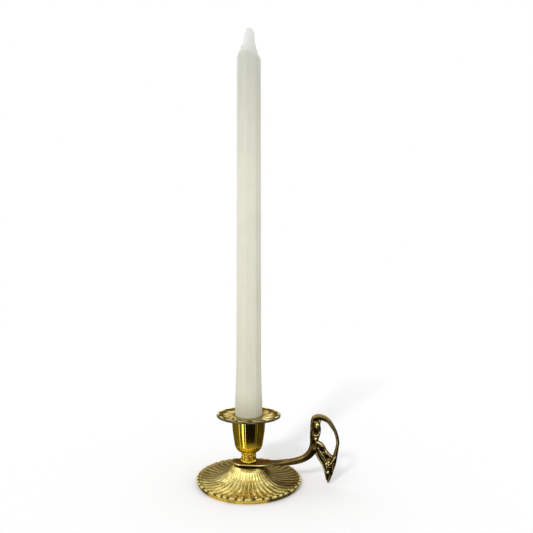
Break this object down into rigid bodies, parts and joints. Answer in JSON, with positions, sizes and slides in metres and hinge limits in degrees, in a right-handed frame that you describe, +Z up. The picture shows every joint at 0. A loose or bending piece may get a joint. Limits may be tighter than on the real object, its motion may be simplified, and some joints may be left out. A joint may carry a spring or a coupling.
{
  "type": "chamber candlestick",
  "caption": "Brass chamber candlestick with ribbed saucer, petalled cup, lobed drip pan, openwork finger grip and a tall candle that lifts out.",
  "frame": {"origin": "centre of the saucer on the plane that it rests on", "axes": "+Z up along the candle, +X along the handle, +Y away from a viewer who has the handle to the right"},
  "size_m": [0.1114, 0.082, 0.3653],
  "materials": {
    "base_brass": "antique cast brass, ribs rubbed bright, brown patina in the flutes",
    "handle_bronze": "dark antique brass with rubbed edges",
    "collar_brass": "cast ornament, golden lacquer",
    "cup_brass": "polished",
    "pan_brass": "antique cast brass, lobes rubbed bright, polished underside",
    "fastener_steel": "plain zinc-plated steel",
    "wax": "ivory candle wax, satin, slightly translucent",
    "wick_cotton": "waxed cotton"
  },
  "bodies": {
    "holder": {"base_dish": "base_brass", "handle": "handle_bronze", "neck_collar": "collar_brass", "candle_cup": "cup_brass", "drip_pan": "pan_brass", "centre_stud": "fastener_steel", "washer": "fastener_steel", "hex_nut": "fastener_steel"},
    "candle_with_wick": {"candle": "wax", "wick": "wick_cotton"}
  },
  "joints": [
    {"name": "candle_lift", "type": "slide", "parent": "holder", "child": "candle_with_wick", "axis": [0, 0, 1], "range_m": [0, 0.03]}
  ]
}
